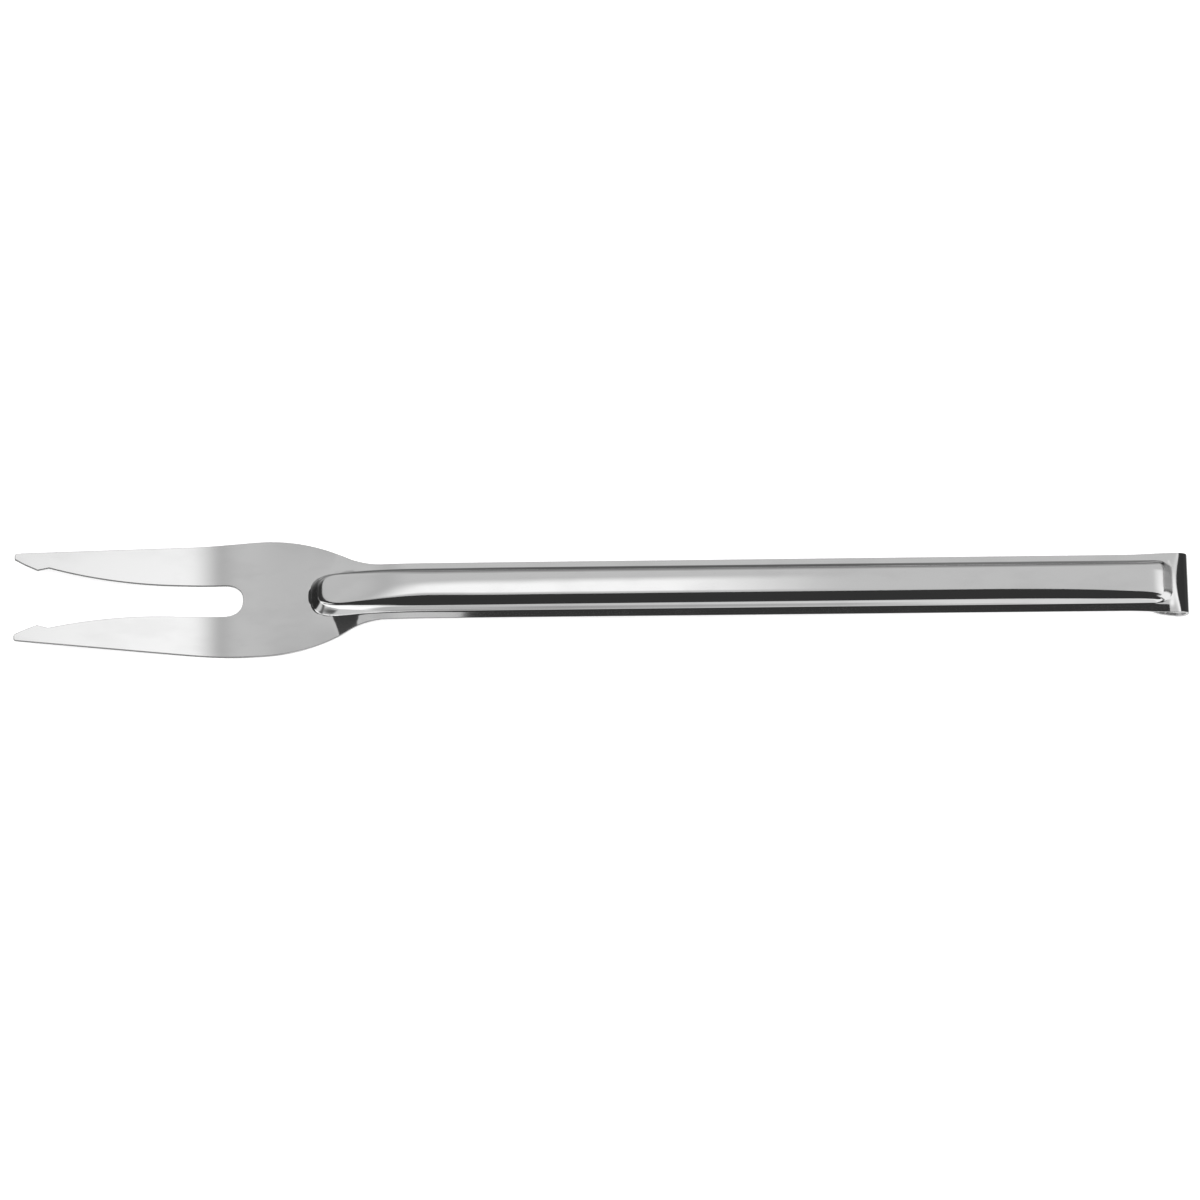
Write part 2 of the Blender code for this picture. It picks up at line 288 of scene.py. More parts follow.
@dataclass(frozen=True)
class RibSection:
    """Half of the rib's section: crest, haunch and shoulder arcs, a straight flank and a root arc.

    Attributes:
        half: Half of the width at the foot.
        height: Height of the crest above the foot.
        crest_radius: Radius of the crest.
        crest_turn: Slope at which the crest goes over into the haunch.
        haunch_turn: Slope at which the haunch goes over into the shoulder.
        shoulder_radius: Radius of the shoulder.
        flank_angle: Slope of the flank.
        root_radius: Radius of the root.
        arc_points: Points at which each upper arc is worked out.
        root_points: Points at which the root is worked out.
    """

    half: float
    height: float
    crest_radius: float = 11.5 * MM
    crest_turn: float = 15.0 * DEGREE
    haunch_turn: float = 38.4 * DEGREE
    shoulder_radius: float = 1.2 * MM
    flank_angle: float = 68.0 * DEGREE
    root_radius: float = 0.15 * MM
    arc_points: int = 60
    root_points: int = 30

    def arcs(self, haunch_radius: float) -> tuple[tuple[float, float, float], ...]:
        """Upper arcs of the section.

        Args:
            haunch_radius: Radius of the haunch.

        Returns:
            The radius, the first slope and the last slope of the crest, the haunch and the shoulder.
        """
        return (
            (self.crest_radius, 0.0, self.crest_turn),
            (haunch_radius, self.crest_turn, self.haunch_turn),
            (self.shoulder_radius, self.haunch_turn, self.flank_angle),
        )

    @cached_property
    def haunch_radius(self) -> float:
        """Radius of the haunch.

        Returns:
            The one that makes the section as wide as the foot.
        """
        steps = [arc_step(*arc) for arc in self.arcs(0.0)]
        steps.append(arc_step(self.root_radius, 0.0, self.flank_angle))
        haunch = arc_step(1.0, self.crest_turn, self.haunch_turn)
        lean = 1 / math.tan(self.flank_angle)
        drop = sum(step[1] for step in steps)
        run = sum(step[0] for step in steps) + (self.height - drop) * lean
        return (self.half - run) / (haunch[0] - haunch[1] * lean)

    @cached_property
    def crest_run(self) -> float:
        """Half of the crest's width."""
        return self.crest_radius * math.sin(self.crest_turn)

    @cached_property
    def line(self) -> tuple[np.ndarray, np.ndarray]:
        """Points of the section, from the middle of the crest to the foot.

        Returns:
            Their distances across from the middle and their heights above the foot.
        """
        across, height = [0.0], [self.height]
        for radius, start, end in self.arcs(self.haunch_radius):
            base = (across[-1], height[-1])
            for angle in spread(start, end, self.arc_points):
                run, drop = arc_step(radius, start, angle)
                across.append(base[0] + run)
                height.append(base[1] - drop)
        for angle in spread(self.flank_angle, 0.0, self.root_points):
            across.append(self.half - self.root_radius * math.sin(angle))
            height.append(self.root_radius * (1 - math.cos(angle)))
        return np.array(across), np.array(height)

    def rise(self, across: float) -> float:
        """Height above the rib's foot, at a distance across from its middle."""
        return float(np.interp(across, *self.line, right=0.0))

    def columns(self, counts: ColumnCounts) -> list[float]:
        """Places of the mesh's columns on the rib, closest on its round parts.

        Args:
            counts: Columns on each part.

        Returns:
            Their distances across, from the middle to the rib's foot.
        """
        found = [0.0] + spread(0.0, self.crest_run, counts.crest)
        lower_arcs = self.arcs(self.haunch_radius)[1:]
        for (radius, start, end), count in zip(lower_arcs, (counts.haunch, counts.shoulder)):
            base = found[-1]
            found += [base + arc_step(radius, start, angle)[0] for angle in spread(start, end, count)]
        root_top = self.half - self.root_radius * math.sin(self.flank_angle)
        found += spread(found[-1], root_top, counts.flank)
        for angle in spread(self.flank_angle, 0.0, counts.root):
            found.append(self.half - self.root_radius * math.sin(angle))
        return found


@dataclass(frozen=True)
class HandleRib:
    """Hollow rib raised along the handle, with a round nose and a ramp with round corners as its tail.

    Attributes:
        nose: Length of the nose, which is round in plan.
        nose_squareness: How square the nose is in plan: 2 would be an ellipse.
        flank_ease: Run from the rib's start over which its flanks and shoulders soften.
        crest_from: Run from the rib's start at which the flat crest starts to turn round.
        crest_ease: Run over which it turns round.
        nose_extra: How much higher the crest is towards the nose.
        high_to: Length along the sheet up to which it is higher.
        high_fade: Run over which it comes down.
        sink: How far the crest sinks towards the tail.
        sink_length: Run over which it sinks.
        roll: How far it rolls over just before the ramp.
        roll_length: Run over which it rolls over.
        ramp: Length of the ramp.
        tail_corner: Radius of the ramp's corners in plan.
        tail_ease: Run before the tail over which the crest turns flat.
        flat_radius: Radius of a flat crest.
        flat_turn: Slope at which a flat crest goes over into its haunch.
        flat_haunch: Slope at which that haunch goes over into the shoulder.
    """

    profile: SideProfile
    from_slot_end: float = 19.3 * MM
    to_hook: float = 0.9 * MM
    width: float = 12.9 * MM
    height: float = 3.6 * MM
    nose: float = 11.0 * MM
    nose_squareness: float = 3.2
    nose_shoulder: float = 0.7 * MM
    nose_flank: float = 66.0 * DEGREE
    flank_ease: float = 19.0 * MM
    crest_from: float = 4.0 * MM
    crest_ease: float = 30.0 * MM
    nose_extra: float = 0.35 * MM
    high_to: float = 114.0 * MM
    high_fade: float = 26.0 * MM
    sink: float = 1.9 * MM
    sink_length: float = 50.0 * MM
    roll: float = 0.45 * MM
    roll_length: float = 3.4 * MM
    ramp: float = 2.1 * MM
    tail_corner: float = 3.8 * MM
    tail_ease: float = 22.0 * MM
    steep_shoulder: float = 2.4 * MM
    tail_shoulder: float = 3.4 * MM
    steep_flank: float = 68.0 * DEGREE
    flat_radius: float = 400.0 * MM
    flat_turn: float = 0.3 * DEGREE
    flat_haunch: float = 0.6 * DEGREE

    @cached_property
    def half(self) -> float:
        """Half of the rib's width at its foot."""
        return self.width / 2

    @cached_property
    def start(self) -> float:
        """Length along the sheet at which the rib's nose starts."""
        return self.profile.tine_length + self.from_slot_end

    @cached_property
    def end(self) -> float:
        """Length along the sheet at which the rib's tail ends."""
        return self.profile.hook_at - self.to_hook

    @cached_property
    def round_section(self) -> RibSection:
        """Section along most of the handle."""
        return RibSection(self.half, self.height)

    @cached_property
    def nose_section(self) -> RibSection:
        """Flat-topped section with sharp shoulders at the nose."""
        return self.flat_topped(self.nose_shoulder, self.nose_flank)

    @cached_property
    def steep_section(self) -> RibSection:
        """Flat-topped section with steep flanks and round shoulders behind the nose."""
        return self.flat_topped(self.steep_shoulder, self.steep_flank)

    @cached_property
    def tail_section(self) -> RibSection:
        """Flat-topped section with the roundest shoulders at the tail."""
        return self.flat_topped(self.tail_shoulder, self.steep_flank)

    def flat_topped(self, shoulder_radius: float, flank_angle: float) -> RibSection:
        """Section with a flat crest.

        Args:
            shoulder_radius: Radius of its shoulders.
            flank_angle: Slope of its flanks.

        Returns:
            The section, as wide and as high as the round one.
        """
        return RibSection(
            self.half,
            self.height,
            crest_radius=self.flat_radius,
            crest_turn=self.flat_turn,
            haunch_turn=self.flat_haunch,
            shoulder_radius=shoulder_radius,
            flank_angle=flank_angle,
        )

    def across(self, s: float, y: float) -> float:
        """Distance from the rib's middle, measured so that its round nose ends at half its width.

        Args:
            s: Length along the sheet.
            y: Distance across it from the middle.

        Returns:
            The distance, with which the sections are read.
        """
        nose = max(self.start + self.nose - s, 0.0) / self.nose
        power = self.nose_squareness
        return self.half * (nose ** power + (abs(y) / self.half) ** power) ** (1 / power)

    def rise(self, s: float, y: float) -> float:
        """Height of the rib above the sheet.

        Args:
            s: Length along the sheet.
            y: Distance across it from the middle.

        Returns:
            The height there.
        """
        across = self.across(s, y)
        past = s - self.start
        steep = self.steep_section.rise(across)
        height = mix(self.nose_section.rise(across), steep, ease(past / self.flank_ease))
        crest = ease((past - self.crest_from) / self.crest_ease)
        height = mix(height, self.round_section.rise(across), crest)
        flat = 1 - ease((self.end - s) / self.tail_ease)
        height = mix(height, self.tail_section.rise(across), flat)
        return height * self.crest(s, y) / self.height

    def crest(self, s: float, y: float) -> float:
        """Height of the crest, which is highest at the nose, sinks to the tail and ends in the ramp.

        Args:
            s: Length along the sheet.
            y: Distance across it from the middle, which counts at the ramp's corners.

        Returns:
            The height there.
        """
        level = self.height + self.nose_extra * (1 - ease((s - self.high_to) / self.high_fade))
        before = max(self.end - self.ramp - s, 0.0)
        sunk = max(1 - before / self.sink_length, 0.0)
        rolled = max(1 - before / self.roll_length, 0.0)
        level -= self.sink * sunk * sunk + self.roll * rolled * rolled
        corner = arc_drop(self.tail_corner, max(abs(y) - self.half + self.tail_corner, 0.0))
        return level * min(max((self.end - corner - s) / self.ramp, 0.0), 1.0)


@dataclass(frozen=True)
class BlankOutline:
    """Outline of the flat blank: tines with barbs, head, neck, handle and the hook's tongue.

    Attributes:
        slot_squareness: How square the slot's end is in plan: 2 would be an ellipse.
        slot_parallel: Length of the slot's parallel sides.
        notch_tine_width: Width of a tine at the notch behind its barb.
        tip_round: How far the corners of a tine's tip are drawn back.
        tip_fade: Run over which that fades out.
        tongue_round: How far the corners of the tongue's end are drawn back.
        tongue_fade: Run over which that fades out.
        end_squareness: How square the tips and the tongue's end stay.
    """

    profile: SideProfile
    rib: HandleRib
    head_width: float = 34.1 * MM
    slot_end_to_widest: float = 5.5 * MM
    head_edge_radius: float = 205.0 * MM
    tine_taper: float = 3.7 * DEGREE
    head_shoulder: float = 51.0 * MM
    neck_fillet: float = 22.0 * MM
    slot_width: float = 9.3 * MM
    slot_nose: float = 5.5 * MM
    slot_squareness: float = 2.3
    slot_parallel: float = 14.0 * MM
    notch_tine_width: float = 4.62 * MM
    barb_at: float = 6.5 * MM
    barb_run: float = 3.2 * MM
    barb_depth: float = 0.78 * MM
    tip_width: float = 2.0 * MM
    tip_round: float = 0.5 * MM
    tip_fade: float = 3.0 * MM
    flange_width: float = 1.8 * MM
    handle_spread: float = 0.2 * MM
    tail_flare: float = 0.42 * MM
    flare_length: float = 14.0 * MM
    tongue_width: float = 12.6 * MM
    tongue_round: float = 2.4 * MM
    tongue_fade: float = 7.0 * MM
    end_squareness: int = 4

    @cached_property
    def handle_half(self) -> float:
        """Half of the handle's width at the neck."""
        return self.rib.half + self.flange_width

    @cached_property
    def widest_at(self) -> float:
        """Length along the sheet at which the head is widest."""
        return self.profile.tine_length + self.slot_end_to_widest

    @cached_property
    def neck_turn(self) -> float:
        """Angle that the head's shoulder arc and the neck's fillet turn through."""
        narrowing = self.head_width / 2 - self.handle_half
        return math.acos(1 - narrowing / (self.head_shoulder + self.neck_fillet))

    @cached_property
    def neck_end(self) -> float:
        """Length along the sheet at which the neck has the handle's width."""
        arcs = self.head_shoulder + self.neck_fillet
        return self.widest_at + arcs * math.sin(self.neck_turn)

    @cached_property
    def nose_at(self) -> float:
        """Length along the sheet at which the slot's round end starts."""
        return self.profile.tine_length - self.slot_nose

    @cached_property
    def notch_at(self) -> float:
        """Length along the sheet of the notch behind a barb."""
        return self.barb_at + self.barb_run

    def head_half(self, s: float) -> float:
        """Outer edge of the tines, the head and the neck, down to the handle's width.

        Args:
            s: Length along the sheet.

        Returns:
            Half of the width there.
        """
        widest = self.head_width / 2
        ahead = self.widest_at - s
        edge_run = self.head_edge_radius * math.sin(self.tine_taper)
        if ahead > edge_run:
            tine_drop = (ahead - edge_run) * math.tan(self.tine_taper)
            return widest - arc_drop(self.head_edge_radius, edge_run) - tine_drop
        if ahead > 0:
            return widest - arc_drop(self.head_edge_radius, ahead)
        if -ahead < self.head_shoulder * math.sin(self.neck_turn):
            return widest - arc_drop(self.head_shoulder, -ahead)
        return self.handle_half + arc_drop(self.neck_fillet, max(self.neck_end - s, 0.0))

    def handle_edge(self, s: float) -> float:
        """Outer edge of the handle and the tongue, which the neck runs into.

        Args:
            s: Length along the sheet.

        Returns:
            Half of the width there.
        """
        profile = self.profile
        along = min(max((s - profile.handle_at) / profile.handle_length, 0.0), 1.0)
        flare = ease((s - profile.hook_at + self.flare_length) / self.flare_length)
        wider = self.handle_spread * along + self.tail_flare * flare
        tail_half = self.handle_half + self.handle_spread + self.tail_flare
        past_hook = (max(s - profile.hook_at, 0.0) / (profile.end - profile.hook_at)) ** 2
        return self.handle_half + wider - (tail_half - self.tongue_width / 2) * past_hook

    def half_width(self, s: float) -> float:
        """Outer edge of the whole blank."""
        return self.handle_edge(s) + self.head_half(s) - self.handle_half

    def slot_half(self, s: float) -> float:
        """Inner edge of a tine, from its tip to where the slot's round end starts.

        Args:
            s: Length along the sheet.

        Returns:
            Half of the slot's width there.
        """
        slot = self.slot_width / 2
        opens_at = self.nose_at - self.slot_parallel
        notch = self.half_width(self.notch_at) - self.notch_tine_width
        if s >= self.notch_at:
            radius = arc_radius(notch - slot, opens_at - self.notch_at)
            return slot + arc_drop(radius, max(opens_at - s, 0.0))
        barb = notch - self.barb_depth
        if s >= self.barb_at:
            return mix(barb, notch, (s - self.barb_at) / self.barb_run)
        return mix(self.half_width(0.0) - self.tip_width, barb, s / self.barb_at)

    def slot_end(self, share: float) -> tuple[float, float]:
        """Point on the slot's round end.

        Args:
            share: How far round it is, from the slot's side at 0 to its middle at 1.

        Returns:
            The point (s, y).
        """
        angle = math.pi / 2 * (1 - share)
        power = 2 / self.slot_squareness
        along = self.slot_nose * max(math.cos(angle), 0.0) ** power
        across = self.slot_width / 2 * max(math.sin(angle), 0.0) ** power
        return self.nose_at + along, across

    def rounded(self, s: float, share: float) -> float:
        """Length s moved so that a tine's tip and the tongue's end are round in plan.

        Args:
            s: Length along the sheet of a row of points.
            share: Share of the row's width at which a point lies.

        Returns:
            The length at which the point lies.
        """
        tip = self.tip_round * (1 - ease(s / self.tip_fade))
        tongue = self.tongue_round * (1 - ease((self.profile.end - s) / self.tongue_fade))
        power = self.end_squareness
        return s + tip * (2 * share - 1) ** power - tongue * share ** power


@dataclass(frozen=True)
class HandleFlanges:
    """Flanges beside the rib, which droop along the handle, and the neck, which sinks and climbs.

    Attributes:
        first_droop: Slope of the flanges behind the neck.
        first_from: Length along the sheet at which they start to droop.
        first_ease: Run over which they reach that slope.
        droop: Slope of the flanges along the handle.
        into_hook: How far the droop reaches into the hook's bend.
        tail_ease: Run over which it fades out there.
        flank_end: Run before the rib's end over which the lift of its flanks fades out.
        bow_from: Run before the hook at which the sheet starts to bow across its whole width.
        bow_ease: Run over which it does.
        neck_share: Share of the slope that goes on outside the handle's edge, into the neck.
        neck_sink: How far the neck sinks.
        sink_spread: How much further it sinks for each unit outside the handle's edge.
        sink_from: Length along the sheet at which it starts to sink.
        climb_from: Length along the sheet at which it starts to climb back.
        climb: Run over which it climbs.
        climb_lean: How much later the climb starts for each unit outside the rib.
        climb_soft: Share of the climb over which its ends are rounded.
        flank_blend: Distance inside the rib's foot over which sink and climb fade out.
        lift_from: Length along the sheet at which the droop starts to lift the crest.
        lift_ease: Run over which it does, so that the crest rises without a kink.
        crest_blend: Distance inside the rib's foot over which that lift takes over.
    """

    outline: BlankOutline
    first_droop: float = 13.5 * DEGREE
    first_from: float = 84.0 * MM
    first_ease: float = 20.0 * MM
    droop: float = 18.0 * DEGREE
    into_hook: float = 1.9 * MM
    tail_ease: float = 3.6 * MM
    flank_end: float = 9.0 * MM
    bow_from: float = 2.4 * MM
    bow_ease: float = 2.4 * MM
    neck_share: float = 0.5
    neck_sink: float = 0.45 * MM
    sink_spread: float = 0.05
    sink_from: float = 64.0 * MM
    climb_from: float = 89.9 * MM
    climb: float = 6.9 * MM
    climb_lean: float = 0.3
    climb_soft: float = 0.08
    flank_blend: float = 2.4 * MM
    lift_from: float = 64.0 * MM
    lift_ease: float = 90.0 * MM
    crest_blend: float = 3.0 * MM

    @cached_property
    def fade(self) -> float:
        """Distance inside the rib's foot over which the droop's slope fades out."""
        return self.outline.rib.half - self.outline.rib.round_section.crest_run

    def slope(self, s: float) -> float:
        """Slope of the flanges, which grows in two stages.

        Args:
            s: Length along the sheet.

        Returns:
            The slope there.
        """
        rib = self.outline.rib
        first = math.tan(self.first_droop) * ease((s - self.first_from) / self.first_ease)
        more = math.tan(self.droop) - math.tan(self.first_droop)
        return first + more * ease((s - rib.high_to) / rib.high_fade)

    def run(self, s: float, y: float) -> float:
        """Run up the slope, from the handle's outer edge to the rib's foot and on up its flank.

        Args:
            s: Length along the sheet.
            y: Distance across it from the middle.

        Returns:
            The run, which is negative outside the handle's edge.
        """
        outline, rib = self.outline, self.outline.rib
        edge = outline.handle_edge(s)
        run = min(edge - abs(y), edge - rib.half)
        run = max(run, run * self.neck_share)
        bowed = (edge - rib.half) * (1 - (y / edge) ** 2)
        run = mix(run, bowed, ease((s - outline.profile.hook_at + self.bow_from) / self.bow_ease))
        inside = min(max(rib.half - abs(y), 0.0), self.fade)
        flank = (inside - inside * inside / (2 * self.fade)) * ease((rib.end - s) / self.flank_end)
        return run + flank

    def rise(self, s: float, y: float) -> float:
        """Height of the sheet over its outer edges along the handle.

        Args:
            s: Length along the sheet.
            y: Distance across it from the middle.

        Returns:
            The height there.
        """
        rib = self.outline.rib
        last = self.outline.profile.hook_at + self.into_hook
        slope = self.slope(s)
        early = slope - math.tan(self.droop) * ease((s - self.lift_from) / self.lift_ease)
        crest_run = self.outline.handle_edge(s) - rib.half + self.fade / 2
        on_crest = ease((rib.half - rib.across(s, y)) / self.crest_blend)
        drooped = slope * ease((last - s) / self.tail_ease) * self.run(s, y)
        return drooped - early * crest_run * on_crest

    def fall(self, s: float, y: float) -> float:
        """How far the head sinks towards the neck, which then climbs steeply beside the rib's nose.

        Args:
            s: Length along the sheet.
            y: Distance across it from the middle.

        Returns:
            The depth there.
        """
        rib = self.outline.rib
        here = s - self.climb_lean * max(abs(y) - rib.half, 0.0)
        sunk = ease((here - self.sink_from) / (self.climb_from - self.sink_from))
        climbed = soft_ramp((here - self.climb_from) / self.climb, self.climb_soft)
        inside = max(rib.half - rib.across(s, y), 0.0)
        depth = self.neck_sink + self.sink_spread * max(abs(y) - self.outline.handle_half, 0.0)
        return depth * (sunk - climbed) * (1 - ease(inside / self.flank_blend))


class Signal:
    """A shader socket that takes part in Python arithmetic."""

    def __init__(self, sketch: NodeSketch, socket: bpy.types.NodeSocket) -> None:
        """Wraps a socket of the sketch's node tree."""
        self.sketch = sketch
        self.socket = socket

    def _math(self, operation: str, first: Feed, second: Feed) -> Signal:
        """Adds a Math node for two values."""
        return self.sketch.add("ShaderNodeMath", {"operation": operation}, {0: first, 1: second})

    def __add__(self, other: Feed) -> Signal:
        """Sum."""
        return self._math("ADD", self, other)

    def __radd__(self, other: Feed) -> Signal:
        """Sum with a number first."""
        return self._math("ADD", other, self)

    def __sub__(self, other: Feed) -> Signal:
        """Difference."""
        return self._math("SUBTRACT", self, other)

    def __rsub__(self, other: Feed) -> Signal:
        """Difference from a number."""
        return self._math("SUBTRACT", other, self)

    def __mul__(self, other: Feed) -> Signal:
        """Product."""
        return self._math("MULTIPLY", self, other)

    def __rmul__(self, other: Feed) -> Signal:
        """Product with a number first."""
        return self._math("MULTIPLY", other, self)

    def __neg__(self) -> Signal:
        """Opposite."""
        return self._math("SUBTRACT", 0.0, self)

    def __abs__(self) -> Signal:
        """Distance from zero."""
        return self._math("ABSOLUTE", self, 0.0)

    def past(self, edge: Edge) -> Signal:
        """Smooth step from 0 where the edge starts to 1 where it ends."""
        feeds = {"Value": self, "From Min": edge[0], "From Max": edge[1]}
        return self.sketch.add("ShaderNodeMapRange", {"interpolation_type": "SMOOTHSTEP"}, feeds)

    def before(self, edge: Edge) -> Signal:
        """Smooth step from 1 where the edge starts to 0 where it ends."""
        return 1 - self.past(edge)

    def towards(self, other: Feed, share: Signal) -> Signal:
        """Value a share of the way to the other."""
        return self + share * (other - self)


Feed = Signal | float | tuple[float, ...]


class NodeSketch:
    """A node tree that is written as expressions."""

    def __init__(self, tree: bpy.types.NodeTree) -> None:
        """Empties the tree, ready to be written."""
        self.tree = tree
        tree.nodes.clear()

    def node(
        self,
        kind: str,
        settings: dict[str, object] | None = None,
        feeds: dict[str | int, Feed] | None = None,
    ) -> bpy.types.Node:
        """Adds a node.

        Args:
            kind: Type of the node.
            settings: Its own settings, which are set first.
            feeds: Values or signals of its sockets.

        Returns:
            The node.
        """
        node = self.tree.nodes.new(kind)
        for name, value in (settings or {}).items():
            setattr(node, name, value)
        for name, value in (feeds or {}).items():
            if isinstance(value, Signal):
                self.tree.links.new(value.socket, node.inputs[name])
            else:
                node.inputs[name].default_value = value
        return node

    def add(
        self,
        kind: str,
        settings: dict[str, object] | None = None,
        feeds: dict[str | int, Feed] | None = None,
        output: str | int = 0,
    ) -> Signal:
        """Adds a node and reads one of its outputs.

        Args:
            kind: Type of the node.
            settings: Its own settings, which are set first.
            feeds: Values or signals of its sockets.
            output: The output that is wanted.

        Returns:
            That output as a signal.
        """
        return Signal(self, self.node(kind, settings, feeds).outputs[output])

    def axes(self, coordinates: str) -> tuple[Signal, Signal, Signal]:
        """Splits a texture coordinate.

        Args:
            coordinates: Name of the coordinate, such as Object.

        Returns:
            Its three numbers.
        """
        place = self.add("ShaderNodeTexCoord", output=coordinates)
        outputs = self.node("ShaderNodeSeparateXYZ", None, {0: place}).outputs
        return tuple(Signal(self, socket) for socket in outputs)

    def grain(self, scale: tuple[float, float, float], detail: float = 2.0) -> Signal:
        """Noise on Object coordinates.

        Args:
            scale: Waves a metre along each axis.
            detail: How many finer layers it has.

        Returns:
            The noise, from 0 to 1.
        """
        place = self.add("ShaderNodeTexCoord", output="Object")
        feeds = {"Vector": place, "Scale": scale}
        stretched = self.add("ShaderNodeMapping", {"vector_type": "POINT"}, feeds)
        feeds = {"Vector": stretched, "Scale": 1.0, "Detail": detail}
        return self.add("ShaderNodeTexNoise", None, feeds)

    def tint(self, share: Signal, low: tuple[float, ...], high: tuple[float, ...]) -> Signal:
        """Colour between low and high."""
        feeds = {"Factor": share, MIX_FIRST: (*low, 1.0), MIX_SECOND: (*high, 1.0)}
        return self.add("ShaderNodeMix", {"data_type": "RGBA"}, feeds, MIX_RESULT)


@dataclass(frozen=True)
class DrawMarks:
    """Dull marks that the press leaves on the ramp at the rib's tail.

    Attributes:
        start: Soft edge along the fork at which they start.
        end: Soft edge at which they end.
        near: Soft edge across it at which they start.
        far: Soft edge across it at which they end.
        scale: Waves a metre of their streaks along each axis.
        least: How dull they are between their streaks.
        streak: How much duller their streaks are.
        roughness: Roughness that they add at a dullness of 1.
    """

    start: Edge = (157.5 * MM, 158.1 * MM)
    end: Edge = (160.1 * MM, 160.7 * MM)
    near: Edge = (-4.0 * MM, -2.0 * MM)
    far: Edge = (3.5 * MM, 5.5 * MM)
    scale: tuple[float, float, float] = (400.0, 1500.0, 400.0)
    least: float = 0.7
    streak: float = 0.6
    roughness: float = 0.4

    def dullness(self, sketch: NodeSketch) -> Signal:
        """Draws the marks.

        Args:
            sketch: Node tree of the finish.

        Returns:
            The roughness that they add.
        """
        x, y, _ = sketch.axes("Object")
        ramp = x.past(self.start) * x.before(self.end) * y.past(self.near) * y.before(self.far)
        return (self.least + sketch.grain(self.scale) * self.streak) * ramp * self.roughness


@dataclass(frozen=True)
class SteelFinish:
    """A finish of the steel sheet.

    Attributes:
        name: Name of the material.
        bright: Colour of clean steel.
        dull: Colour of handled or scuffed steel.
        roughness: Roughness of clean steel.
        hairline: How much the polishing lines change the roughness.
        smudge: How much handling changes the roughness.
        line_depth: Depth of the polishing lines.
        nick_depth: Depth of the small nicks.
        lines: Waves a metre of the polishing lines along each axis.
        line_detail: How many finer layers the polishing lines have.
        smudges: Waves a metre of the smudges along each axis.
        smudge_detail: How many finer layers the smudges have.
        smudge_edge: Soft edge of the smudges, in their noise.
        nicks: Cells a metre that can hold a nick.
        nick_edge: Soft edge of a nick, as a share of its cell.
        nicked: Waves a metre of the patches that have nicks, along each axis.
        nicked_edge: Soft edge of those patches, in their noise.
        nick_roughness: Roughness that a nick adds.
        smudge_wear: Share of the dull colour in a smudge.
        nick_wear: Share of the dull colour in a nick.
        marks: Marks of the press.
    """

    name: str
    bright: tuple[float, float, float]
    dull: tuple[float, float, float]
    roughness: float
    hairline: float
    smudge: float
    line_depth: float
    nick_depth: float
    lines: tuple[float, float, float]
    line_detail: float = 3.0
    smudges: tuple[float, float, float] = (70.0, 160.0, 160.0)
    smudge_detail: float = 4.0
    smudge_edge: Edge = (0.42, 0.7)
    nicks: float = 210.0
    nick_edge: Edge = (0.03, 0.09)
    nicked: tuple[float, float, float] = (120.0, 240.0, 240.0)
    nicked_edge: Edge = (0.6, 0.72)
    nick_roughness: float = 0.1
    smudge_wear: float = 0.6
    nick_wear: float = 0.4
    marks: DrawMarks = DrawMarks()

    def material(self) -> bpy.types.Material:
        """Makes the material, which reads Object coordinates.

        Returns:
            The material.
        """
        material = bpy.data.materials.new(self.name)
        material.use_nodes = True
        sketch = NodeSketch(material.node_tree)
        lines = sketch.grain(self.lines, self.line_detail)
        smudge = sketch.grain(self.smudges, self.smudge_detail).past(self.smudge_edge)
        place = sketch.add("ShaderNodeTexCoord", output="Object")
        feeds = {"Vector": place, "Scale": self.nicks, "Randomness": 1.0}
        cell = sketch.add("ShaderNodeTexVoronoi", None, feeds, "Distance")
        nick = cell.before(self.nick_edge) * sketch.grain(self.nicked).past(self.nicked_edge)
        wear = smudge * self.smudge_wear + nick * self.nick_wear
        rough = self.roughness + (lines - 0.5) * self.hairline + smudge * self.smudge
        rough = rough + nick * self.nick_roughness + self.marks.dullness(sketch)
        height = lines * self.line_depth - nick * self.nick_depth
        bump = sketch.add("ShaderNodeBump", None, {"Strength": 1.0, "Distance": 1.0, "Height": height})
        feeds = {
            "Base Color": sketch.tint(wear, self.bright, self.dull),
            "Roughness": rough,
            "Metallic": 1.0,
            "Normal": bump,
        }
        shader = sketch.add("ShaderNodeBsdfPrincipled", None, feeds)
        sketch.node("ShaderNodeOutputMaterial", None, {"Surface": shader})
        return material


MIRROR_POLISH = SteelFinish(
    name="polished_steel",
    bright=(0.645, 0.645, 0.645),
    dull=(0.6, 0.6, 0.6),
    roughness=0.075,
    hairline=0.04,
    smudge=0.03,
    line_depth=0.25e-6,
    nick_depth=3e-6,
    lines=(35.0, 4200.0, 4200.0),
)
SHEARED_EDGE = SteelFinish(
    name="sheared_edge",
    bright=(0.56, 0.56, 0.56),
    dull=(0.46, 0.46, 0.46),
    roughness=0.26,
    hairline=0.12,
    smudge=0.05,
    line_depth=1.5e-6,
    nick_depth=3e-6,
    lines=(2600.0, 2600.0, 500.0),
)


@dataclass(frozen=True)
class Row:
    """A row of points across half of the blank.

    Attributes:
        inner: Its inner end (s, y).
        outer_s: Length along the sheet of its outer end, which lies on the outline.
        lean: Angle towards the handle at which it leaves its inner end.
    """

    inner: tuple[float, float]
    outer_s: float
    lean: float = 0.0


